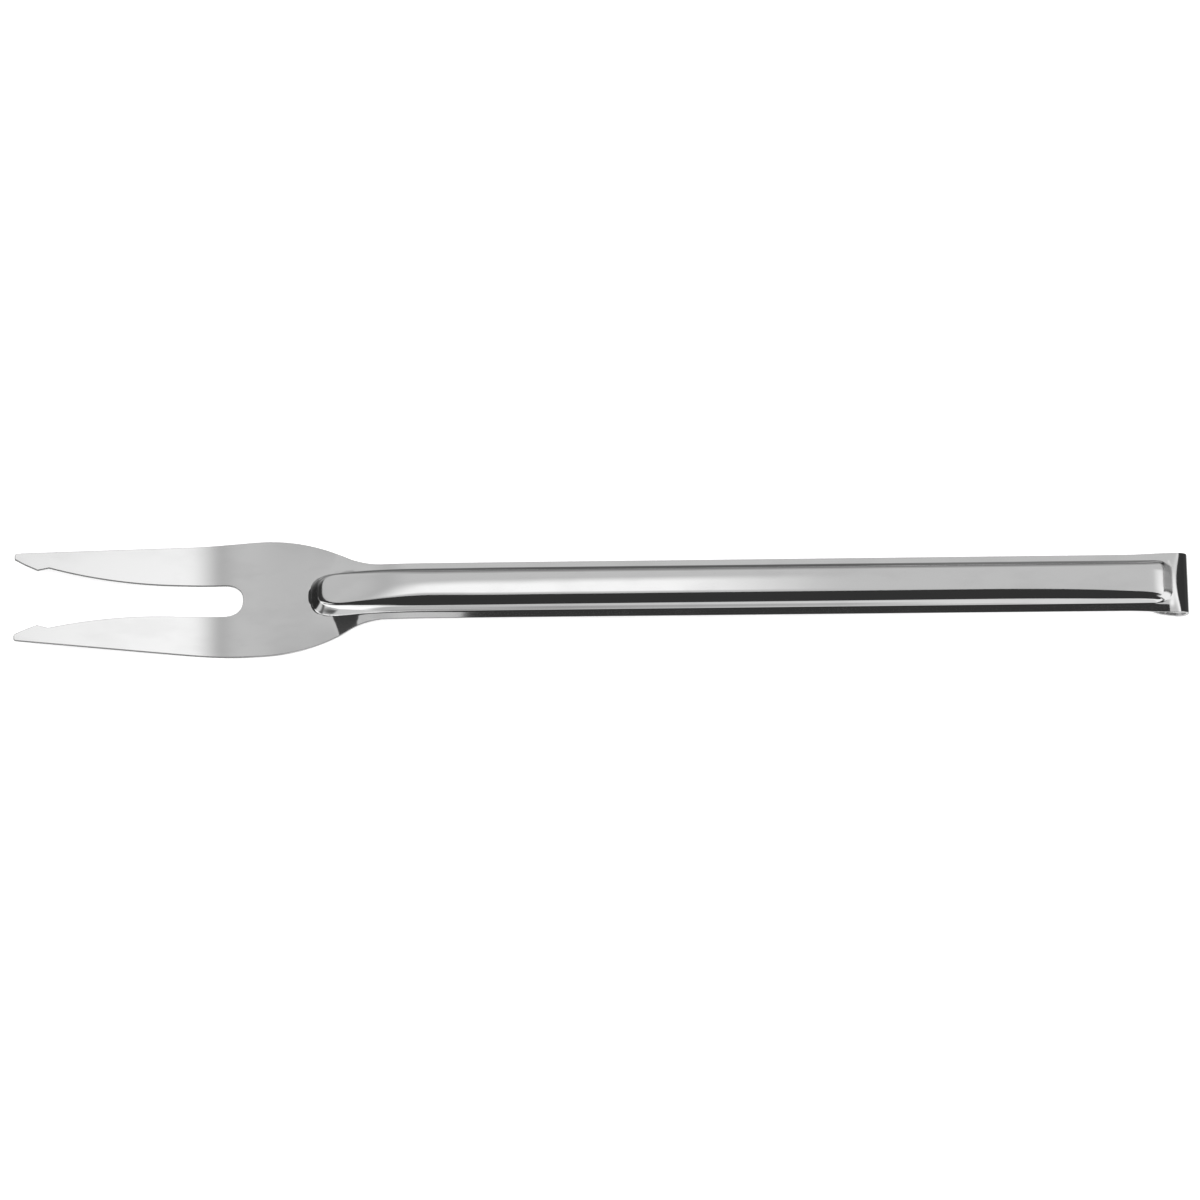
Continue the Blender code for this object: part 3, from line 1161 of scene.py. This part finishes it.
@dataclass
class CarvingFork:
    """The whole fork, one pressing.

    The row sizes are the spacing of the mesh's rows along each stretch.

    Attributes:
        fan_rows: Rows that fan out from the slot's round end.
        fan_reach: How far past the slot's end the fan reaches along the outline.
        fan_lean: Lean of the row that leaves the middle of the slot's end.
        rim_gap: Distance of the outermost columns from the tines' edges.
        rim_round: Width of the rounding along the cut edges.
        rim_angle: Least angle of an edge that is rounded.
        merge: Distance within which the two halves join.
        wave_height: Height of the polish's waviness.
        wave_along: Length of its waves along the sheet.
        wave_across: Length of its waves across the sheet.
        wave_seed: Which of its noise's layers is used.
        hook_skew: Angle that the hook's fold is out of square.
        hook_shift: How far the folded tail lies to one side.
    """

    profile: SideProfile = field(default_factory=SideProfile)
    columns: ColumnCounts = ColumnCounts()
    row_tine: float = 0.57 * MM
    row_head: float = 0.95 * MM
    row_fine: float = 0.32 * MM
    row_neck: float = 0.665 * MM
    row_droop: float = 1.33 * MM
    row_handle: float = 2.6 * MM
    row_leg: float = 0.76 * MM
    hook_step: float = 7.5 * DEGREE
    fan_rows: int = 16
    fan_reach: float = 5.5 * MM
    fan_lean: float = 45.0 * DEGREE
    rim_gap: float = 0.24 * MM
    rim_round: float = 0.15 * MM
    rim_segments: int = 2
    rim_angle: float = 50.0 * DEGREE
    merge: float = 0.01 * MM
    wave_height: float = 0.02 * MM
    wave_along: float = 26.0 * MM
    wave_across: float = 13.0 * MM
    wave_seed: float = 0.5
    hook_skew: float = 0.3 * DEGREE
    skew_ease: float = 9.0 * MM
    hook_shift: float = 0.7 * MM
    shift_ease: float = 6.0 * MM

    def __post_init__(self) -> None:
        """Makes the forms that the press gives the sheet."""
        self.rib = HandleRib(self.profile)
        self.outline = BlankOutline(self.profile, self.rib)
        self.flanges = HandleFlanges(self.outline)

    def head_rows(self) -> list[Row]:
        """Rows of the tines and the head, which fan out round the slot's end.

        Returns:
            The rows from the tips to the rib's nose.
        """
        outline = self.outline
        tine = [0.0] + rows_between(0.0, outline.barb_at, self.row_tine)
        tine += rows_between(outline.barb_at, outline.notch_at, self.row_tine)
        tine += rows_between(outline.notch_at, outline.nose_at, self.row_head)
        rows = [Row((s, outline.slot_half(s)), s) for s in tine]
        slot_end, rib_start = self.profile.tine_length, self.rib.start
        fan_end = slot_end + self.fan_reach
        for share in spread(0.0, 1.0, self.fan_rows):
            outer = mix(outline.nose_at, fan_end, share)
            rows.append(Row(outline.slot_end(share), outer, self.fan_lean * share))
        for inner in rows_between(slot_end, rib_start, self.row_head):
            share = (inner - slot_end) / (rib_start - slot_end)
            outer = mix(fan_end, rib_start, share)
            rows.append(Row((inner, 0.0), outer, self.fan_lean * (1 - share)))
        return rows

    def handle_rows(self) -> list[Row]:
        """Rows of the handle and the hook, closest where the rib and the hook turn.

        Returns:
            The rows from the rib's nose to the end of the tongue.
        """
        rib, profile = self.rib, self.profile
        stops = (
            (rib.start + rib.nose, self.row_fine),
            (self.outline.neck_end, self.row_neck),
            (rib.high_to + rib.high_fade, self.row_droop),
            (rib.end - rib.tail_ease, self.row_handle),
            (rib.end - rib.ramp - rib.roll_length, self.row_head),
            (rib.end, self.row_fine),
            (profile.hook_at, self.row_fine),
            (profile.leg_at, profile.hook_radius * self.hook_step),
            (profile.end, self.row_leg),
        )
        found = [rib.start]
        for stop, spacing in stops:
            found += rows_between(found[-1], stop, spacing)
        return [Row((s, 0.0), s) for s in found[1:]]

    def shares(self, row: Row, edge: float) -> list[float]:
        """Shares of a row's width at which the columns cross it.

        Args:
            row: The row.
            edge: Distance across of its outer end.

        Returns:
            Even shares between narrow rims at the tines, and the rib's own columns at the handle.
        """
        outline, rib = self.outline, self.rib
        across = rib.round_section.columns(self.columns)
        across += spread(rib.half, outline.handle_half, self.columns.flange)
        count = len(across) - 1
        rim = self.rim_gap / (edge - row.inner[1])
        even = [0.0] + [mix(rim, 1 - rim, step / (count - 2)) for step in range(count - 1)] + [1.0]
        blend = ease((row.outer_s - outline.nose_at) / (rib.start - outline.nose_at))
        found = []
        for place, plain in zip(across, even):
            if edge < outline.handle_half:
                place *= edge / outline.handle_half
            elif place > rib.half:
                place = mix(rib.half, edge, (place - rib.half) / outline.flange_width)
            found.append(mix(plain, place / edge, blend))
        return found

    def points(self) -> list[list[tuple[float, float]]]:
        """Lays out half of the flat blank.

        Returns:
            Its points (s, y), row by row.
        """
        found = []
        for row in self.head_rows() + self.handle_rows():
            edge = self.outline.half_width(row.outer_s)
            inner, outer = Vector(row.inner), Vector((row.outer_s, edge))
            guide = (outer - inner).length / 2 * Vector((math.sin(row.lean), math.cos(row.lean)))
            middle = inner + guide if row.lean else (inner + outer) / 2
            line = []
            for share in self.shares(row, edge):
                s, y = inner.lerp(middle, share).lerp(middle.lerp(outer, share), share)
                line.append((self.outline.rounded(s, share), y))
            found.append(line)
        return found

    def pressed(self, s: float, y: float) -> tuple[float, float, float]:
        """Where the press puts a point of the flat blank.

        Args:
            s: Length along the sheet.
            y: Distance across it.

        Returns:
            The place in the part's frame.
        """
        rise = self.flanges.rise(s, y) + self.rib.rise(s, y) - self.flanges.fall(s, y)
        wave = Vector((s / self.wave_along, y / self.wave_across, self.wave_seed))
        rise += self.wave_height * noise.noise(wave)
        past_hook = s - self.profile.hook_at
        skew = math.tan(self.hook_skew) * ease(past_hook / self.skew_ease + 1)
        shift = self.hook_shift * ease(past_hook / self.shift_ease)
        x, z, heading = self.profile.point(s + y * skew)
        return x - y * skew - rise * math.sin(heading), y + shift, z + rise * math.cos(heading)

    def build(self) -> bpy.types.Object:
        """Lays out the blank, presses it, gives it the sheet's thickness and rounds its rims.

        Returns:
            The fork's object, with its place in its mesh.
        """
        points = self.points()
        rows, columns = len(points) - 1, len(points[0]) - 1
        bpy.ops.object.select_all(action="DESELECT")
        bpy.ops.mesh.primitive_grid_add(x_subdivisions=rows, y_subdivisions=columns, size=2.0)
        fork = bpy.context.object
        fork.name = fork.data.name = "carving_fork_steel"
        for vert in fork.data.vertices:
            row = round((vert.co.x + 1) / 2 * rows)
            column = round((vert.co.y + 1) / 2 * columns)
            vert.co = (*points[row][column], 0.0)
        self.mirror(fork)
        for vert in fork.data.vertices:
            vert.co = self.pressed(vert.co.x, vert.co.y)
        fork.data.materials.append(MIRROR_POLISH.material())
        fork.data.materials.append(SHEARED_EDGE.material())
        bpy.ops.object.shade_smooth()
        self.thicken(fork)
        self.round_rims(fork)
        return fork

    def mirror(self, fork: bpy.types.Object) -> None:
        """Mirrors the half across the middle and merges it there.

        Args:
            fork: The flat half, which is the active object.
        """
        mirror = fork.modifiers.new("both_sides", "MIRROR")
        mirror.use_axis = (False, True, False)
        mirror.use_clip = True
        mirror.merge_threshold = self.merge
        bpy.ops.object.modifier_apply(modifier=mirror.name)

    def thicken(self, fork: bpy.types.Object) -> None:
        """Gives the face the sheet's thickness, with the cut edges in the sheared finish.

        Args:
            fork: The pressed face, which is the active object.
        """
        sheet = fork.modifiers.new("sheet", "SOLIDIFY")
        sheet.thickness = SHEET
        sheet.offset = -1.0
        sheet.use_even_offset = True
        sheet.use_quality_normals = True
        sheet.material_offset_rim = 1
        bpy.ops.object.modifier_apply(modifier=sheet.name)

    def round_rims(self, fork: bpy.types.Object) -> None:
        """Rounds the cut edges, as tumbling does.

        Args:
            fork: The pressed sheet, which is the active object.
        """
        rims = fork.modifiers.new("rims", "BEVEL")
        rims.width = self.rim_round
        rims.segments = self.rim_segments
        rims.limit_method = "ANGLE"
        rims.angle_limit = self.rim_angle
        rims.use_clamp_overlap = False
        rims.harden_normals = True
        bpy.ops.object.modifier_apply(modifier=rims.name)

    def dress(self, fork: bpy.types.Object) -> None:
        """Puts the fork in the place of the plain solid.

        Args:
            fork: The finished fork.
        """
        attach(fork, "root")
        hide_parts("carving_fork")


@dataclass(frozen=True)
class GlowCard:
    """A glowing card that only mirror rays see, so that it neither shows nor shades the floor."""

    name: str
    left: float
    right: float
    front: float
    back: float
    height: float

    def glow(self, x: Signal, y: Signal) -> Signal:
        """Brightness at a place on the card, which each card gives."""
        raise NotImplementedError

    def build(self) -> bpy.types.Object:
        """Makes the card.

        Returns:
            The card's object.
        """
        centre = ((self.left + self.right) / 2, (self.front + self.back) / 2, self.height)
        bpy.ops.object.select_all(action="DESELECT")
        bpy.ops.mesh.primitive_plane_add(size=1.0, location=centre)
        card = bpy.context.object
        card.name = self.name
        card.scale = (self.right - self.left, self.back - self.front, 1.0)
        bpy.ops.object.transform_apply(location=True, rotation=True, scale=True)
        material = bpy.data.materials.new(f"{self.name}_glow")
        material.use_nodes = True
        sketch = NodeSketch(material.node_tree)
        x, y, _ = sketch.axes("Object")
        feeds = {"Color": self.glow(x, y), "Strength": 1.0}
        shader = sketch.add("ShaderNodeEmission", None, feeds)
        sketch.node("ShaderNodeOutputMaterial", None, {"Surface": shader})
        card.data.materials.append(material)
        card.visible_camera = False
        card.visible_diffuse = False
        card.visible_shadow = False
        return card


@dataclass(frozen=True)
class Diffuser(GlowCard):
    """Pale diffuser over the fork, brightest in its middle and towards its right end.

    Attributes:
        level: Plain brightness.
        middle_gain: What its bright middle adds.
        middle_lean: How far that middle's left edge leans.
        middle_back_lean: How far its back edge leans.
        right_gain: What its bright right end adds.
        dim_loss: What its dim band takes away.
        corner: Soft edge of its unlit corner at the front left.
        corner_lean: How far that edge leans.
    """

    name: str = "diffuser"
    left: float = -0.5
    right: float = 0.9
    front: float = -0.14
    back: float = 1.5
    height: float = 0.66
    level: float = 0.775
    middle_gain: float = 0.67
    middle_left: Edge = (-0.28, -0.09)
    middle_lean: float = 0.2
    middle_right: Edge = (0.015, 0.095)
    middle_front: Edge = (-0.085, -0.035)
    middle_back: Edge = (0.2, 0.52)
    middle_back_lean: float = 0.9
    right_gain: float = 0.6
    right_start: Edge = (0.34, 0.75)
    right_end: Edge = (0.79, 0.89)
    right_back: Edge = (0.28, 0.46)
    dim_loss: float = 0.12
    dim_left: Edge = (-0.33, -0.21)
    dim_right: Edge = (-0.22, -0.12)
    corner: Edge = (-0.333, -0.317)
    corner_lean: float = 0.35

    def glow(self, x: Signal, y: Signal) -> Signal:
        """Brightness of the diffuser.

        Args:
            x: Place along the fork.
            y: Place across it.

        Returns:
            The brightness there.
        """
        middle = (x - y * self.middle_lean).past(self.middle_left) * x.before(self.middle_right)
        middle = middle * y.past(self.middle_front)
        middle = middle * (y - x * self.middle_back_lean).before(self.middle_back)
        right = x.past(self.right_start) * x.before(self.right_end) * y.before(self.right_back)
        dim = x.past(self.dim_left) * x.before(self.dim_right)
        lit = self.level + middle * self.middle_gain + right * self.right_gain - dim * self.dim_loss
        in_corner = (x + y * self.corner_lean).before(self.corner)
        return lit.towards(UNLIT, in_corner)


@dataclass(frozen=True)
class TableCard(GlowCard):
    """Card that the steel mirrors in place of the floor: white in front, dark behind and at the tail.

    Attributes:
        tail: Soft edge of the dark beyond the fork's tail.
        behind: Soft edge of the shade behind the fork.
        under: Soft edge of the shade under the tines, as a distance from the middle.
        near: Soft edge of the shade close in front of the handle.
        window: Soft edge of the daylight in front of the tines and the head.
        window_bulge: How much closer that daylight comes beside the rib's nose.
        dimmest: Brightness of the front at the left, as a share of white.
        brighter: Soft edge along which the front turns white.
    """

    name: str = "table_card"
    left: float = -2.0
    right: float = 2.0
    front: float = -2.0
    back: float = 2.0
    height: float = -0.2 * MM
    tail: Edge = (0.166, 0.172)
    tail_front: Edge = (-0.048, -0.032)
    behind: Edge = (0.009, 0.02)
    behind_far: Edge = (0.25, 0.4)
    behind_end: Edge = (0.152, 0.17)
    behind_shade: float = 0.8
    under: Edge = (0.016, 0.022)
    under_end: Edge = (-0.105, -0.09)
    under_shade: float = 0.55
    near: Edge = (0.0235, 0.0262)
    near_start: Edge = (-0.05, -0.01)
    near_end: Edge = (0.065, 0.105)
    near_shade: float = 0.38
    window: Edge = (0.02, 0.03)
    window_end: Edge = (-0.07, -0.062)
    window_bulge: float = 0.006
    bulge_start: Edge = (-0.094, -0.086)
    dimmest: float = 0.64
    brighter: Edge = (-0.1, 0.11)

    def glow(self, x: Signal, y: Signal) -> Signal:
        """Brightness of the card.

        Args:
            x: Place along the fork.
            y: Place across it.

        Returns:
            The brightness there.
        """
        tail = x.past(self.tail) * y.past(self.tail_front)
        behind = y.past(self.behind) * y.before(self.behind_far) * x.before(self.behind_end)
        under = abs(y).before(self.under) * x.before(self.under_end)
        lit_behind = 1 - behind * self.behind_shade
        lit_under = 1 - under * self.under_shade
        shade = 1 - (1 - tail) * lit_behind * lit_under
        near = (-y).before(self.near) * x.past(self.near_start) * x.before(self.near_end)
        beside_nose = x.past(self.bulge_start) * x.before(self.window_end)
        window = (beside_nose * self.window_bulge - y).past(self.window) * x.before(self.window_end)
        front = WHITE * (self.dimmest + x.past(self.brighter) * (1 - self.dimmest))
        lit = front * (1 - near * self.near_shade) + window * (DAYLIGHT - front)
        return lit.towards(UNLIT, shade)


@dataclass(frozen=True)
class Room:
    """Room round the fork: dark in front and at both ends, paler behind, with light low in front.

    Its edges are in the x, y and z of a direction of length 1.

    Attributes:
        strength: What the brightness of the whole room is multiplied by.
        level: Plain brightness.
        back_level: Brightness of the wall behind.
        skyline: Soft upper edge of the light in front.
        skyline_left: Soft edge to the left of which that edge is higher.
        skyline_rise: How much higher it is there.
        white_right: Soft edge at which the light in front turns from white to daylight at the right.
        white_left: Soft edge at which it does at the left.
        panel_side: Soft edge of the two daylight panels towards the ends.
    """

    strength: float = 0.8
    level: float = 0.34
    back_level: float = 0.72
    front: Edge = (0.0, 0.25)
    front_sides: Edge = (0.35, 0.65)
    ends: Edge = (0.2, 0.45)
    ends_sides: Edge = (0.35, 0.65)
    back: Edge = (0.5, 0.8)
    back_foot: Edge = (0.08, 0.33)
    skyline: Edge = (0.18, 0.26)
    skyline_left: Edge = (0.05, 0.12)
    skyline_rise: float = 0.1
    skyline_front: Edge = (0.3, 0.6)
    skyline_sides: Edge = (0.58, 0.66)
    white_right: Edge = (0.04, 0.12)
    white_left: Edge = (0.1, 0.15)
    panel_side: Edge = (0.32, 0.45)
    right_panel_front: Edge = (-0.2, 0.0)
    left_panel_front: Edge = (0.25, 0.4)
    panel_foot: Edge = (-0.1, 0.05)
    panel_top: Edge = (0.75, 0.85)
    panel_edge: Edge = (0.55, 0.65)

    def glow(self, x: Signal, y: Signal, z: Signal) -> Signal:
        """Brightness of the room.

        Args:
            x: How far to the right the direction points.
            y: How far to the back it points.
            z: How far up it points.

        Returns:
            The brightness in that direction.
        """
        ahead = -y
        front = ahead.past(self.front) * abs(x).before(self.front_sides)
        ends = abs(x).past(self.ends) * abs(y).before(self.ends_sides)
        unlit = 1 - (1 - front) * (1 - ends)
        back = y.past(self.back) * z.past(self.back_foot)
        walls = self.level - unlit * (self.level - UNLIT) + back * (self.back_level - self.level)
        low = (z - (-x).past(self.skyline_left) * self.skyline_rise).before(self.skyline)
        low = low * ahead.past(self.skyline_front) * abs(x).before(self.skyline_sides)
        sides = x.past(self.white_right) + (-x).past(self.white_left)
        walls = walls.towards(WHITE + sides * (DAYLIGHT - WHITE), low)
        right_panel = x.past(self.panel_side) * ahead.past(self.right_panel_front)
        left_panel = (-x).past(self.panel_side) * ahead.past(self.left_panel_front)
        panel = (right_panel + left_panel) * ahead.before(self.panel_edge)
        panel = panel * z.past(self.panel_foot) * z.before(self.panel_top)
        return walls.towards(DAYLIGHT, panel)

    def build(self) -> bpy.types.World:
        """Makes the world and gives it to the scene.

        Returns:
            The world.
        """
        world = bpy.data.worlds.new("studio")
        world.use_nodes = True
        sketch = NodeSketch(world.node_tree)
        feeds = {"Color": self.glow(*sketch.axes("Generated")), "Strength": self.strength}
        shader = sketch.add("ShaderNodeBackground", None, feeds)
        sketch.node("ShaderNodeOutputWorld", None, {"Surface": shader})
        bpy.context.scene.world = world
        return world


@dataclass(frozen=True)
class Studio:
    """Pale floor, soft light and all that the steel mirrors."""

    floor_size: float = 30.0
    floor_albedo: float = 0.9
    floor_roughness: float = 0.9
    floor_sheen: float = 0.1
    floor_glow: float = 0.62
    light_strength: float = 1.5
    light_softness: float = 75.0 * DEGREE
    light_height: float = 2.0

    def floor(self) -> None:
        """Makes the pale floor, in whose place the steel mirrors the table card."""
        bpy.ops.object.select_all(action="DESELECT")
        bpy.ops.mesh.primitive_plane_add(size=self.floor_size)
        floor = bpy.context.object
        floor.name = "floor"
        material = bpy.data.materials.new("pale_floor")
        material.use_nodes = True
        shader = material.node_tree.nodes["Principled BSDF"]
        shader.inputs["Base Color"].default_value = (*[self.floor_albedo] * 3, 1.0)
        shader.inputs["Roughness"].default_value = self.floor_roughness
        shader.inputs["Specular IOR Level"].default_value = self.floor_sheen
        shader.inputs["Emission Color"].default_value = (1.0, 1.0, 1.0, 1.0)
        shader.inputs["Emission Strength"].default_value = self.floor_glow
        floor.data.materials.append(material)
        floor.visible_glossy = False

    def light(self) -> None:
        """Adds the soft overhead light of the floor, which the steel doesn't mirror."""
        bpy.ops.object.light_add(type="SUN", location=(0.0, 0.0, self.light_height))
        sun = bpy.context.object
        sun.name = "floor_light"
        sun.data.energy = self.light_strength
        sun.data.angle = self.light_softness
        sun.visible_glossy = False

    def build(self) -> None:
        """Makes all of the studio."""
        Diffuser().build()
        self.floor()
        TableCard().build()
        self.light()
        Room().build()
        bpy.context.scene.view_settings.view_transform = "Standard"


@dataclass(frozen=True)
class PhotoCamera:
    """Camera at the photograph's viewing angle, for a square frame.

    Attributes:
        elevation: Angle over the floor.
        roll: Angle that the picture is turned through.
        field_width: Width that the picture shows at the aim.
        aim: Point that it looks at before it is shifted.
        aim_right: How far the fork lies to the right of the picture's middle.
        aim_up: How far it lies above it.
    """

    elevation: float = 70.0 * DEGREE
    roll: float = 0.63 * DEGREE
    distance: float = 2.2
    field_width: float = 336.9 * MM
    sensor: float = 36.0
    aim: tuple[float, float, float] = (0.0, 0.0, 8.0 * MM)
    aim_right: float = 0.337 * MM
    aim_up: float = 3.214 * MM
    clip_start: float = 0.01
    clip_end: float = 100.0

    def build(self) -> bpy.types.Object:
        """Makes the camera and gives it to the scene.

        Returns:
            The camera's object.
        """
        back = Vector((0.0, -math.cos(self.elevation), math.sin(self.elevation)))
        level = Vector((1.0, 0.0, 0.0))
        upright = back.cross(level)
        right = level * math.cos(self.roll) - upright * math.sin(self.roll)
        up = level * math.sin(self.roll) + upright * math.cos(self.roll)
        target = Vector(self.aim) - right * self.aim_right - up * self.aim_up
        data = bpy.data.cameras.new("photo_camera")
        data.sensor_width = self.sensor
        data.lens = self.sensor * self.distance / self.field_width
        data.clip_start = self.clip_start
        data.clip_end = self.clip_end
        camera = bpy.data.objects.new("photo_camera", data)
        bpy.context.scene.collection.objects.link(camera)
        turn = Matrix((right, up, back)).transposed().to_4x4()
        camera.matrix_world = Matrix.Translation(target + back * self.distance) @ turn
        bpy.context.scene.camera = camera
        return camera


def main() -> None:
    """Builds the fork and the studio round it."""
    logging.basicConfig(level=logging.INFO, format="%(name)s: %(message)s")
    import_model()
    PhotoCamera().build()
    fork = CarvingFork()
    steel = fork.build()
    fork.dress(steel)
    LOG.info("%s: %d faces", steel.name, len(steel.data.polygons))
    Studio().build()


if __name__ == "__main__":
    main()
